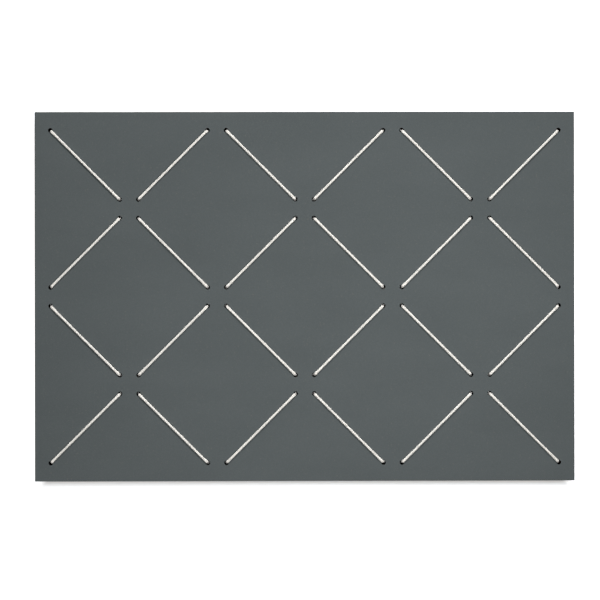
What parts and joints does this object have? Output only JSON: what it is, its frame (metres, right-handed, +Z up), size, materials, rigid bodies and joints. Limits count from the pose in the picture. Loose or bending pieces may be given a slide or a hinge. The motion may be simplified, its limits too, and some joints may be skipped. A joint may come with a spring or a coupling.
{
  "type": "linoleum pin board",
  "caption": "Wide wall-hung linoleum pin board with elastic cords laced through drilled holes in a diamond lattice, on a fibre core with rear spacer battens and keyhole hangers.",
  "frame": {"origin": "middle of the top batten's wall-side face, the height at which the board hangs", "axes": "+X to the right along the board's width as seen from the room, +Y from the board into the wall, +Z up"},
  "size_m": [0.95, 0.0337, 0.6499],
  "materials": {
    "linoleum": "matte, fine cork grain",
    "fibreboard": "sanded, unlacquered",
    "elastic": "fine braided textile sheath",
    "spruce": "planed softwood",
    "zinc_plate": "zinc plated sheet steel",
    "screw_steel": "yellowish zinc plated",
    "pad_rubber": "moulded, matte"
  },
  "bodies": {
    "root": {"linoleum_face": "linoleum", "core_panel": "fibreboard", "elastic_cord_left": "elastic", "elastic_cord_right": "elastic", "batten_top": "spruce", "batten_bottom": "spruce", "batten_left": "spruce", "batten_right": "spruce", "batten_screw_top_outer_left": "screw_steel", "batten_screw_top_inner_left": "screw_steel", "batten_screw_top_inner_right": "screw_steel", "batten_screw_top_outer_right": "screw_steel", "batten_screw_bottom_outer_left": "screw_steel", "batten_screw_bottom_inner_left": "screw_steel", "batten_screw_bottom_inner_right": "screw_steel", "batten_screw_bottom_outer_right": "screw_steel", "batten_screw_left_upper": "screw_steel", "batten_screw_left_lower": "screw_steel", "batten_screw_right_upper": "screw_steel", "batten_screw_right_lower": "screw_steel", "hanger_plate_left": "zinc_plate", "hanger_screw_left_outer": "screw_steel", "hanger_screw_left_inner": "screw_steel", "hanger_plate_right": "zinc_plate", "hanger_screw_right_outer": "screw_steel", "hanger_screw_right_inner": "screw_steel", "wall_pad_top_left": "pad_rubber", "wall_pad_top_right": "pad_rubber", "wall_pad_bottom_left": "pad_rubber", "wall_pad_bottom_right": "pad_rubber"}
  },
  "joints": []
}
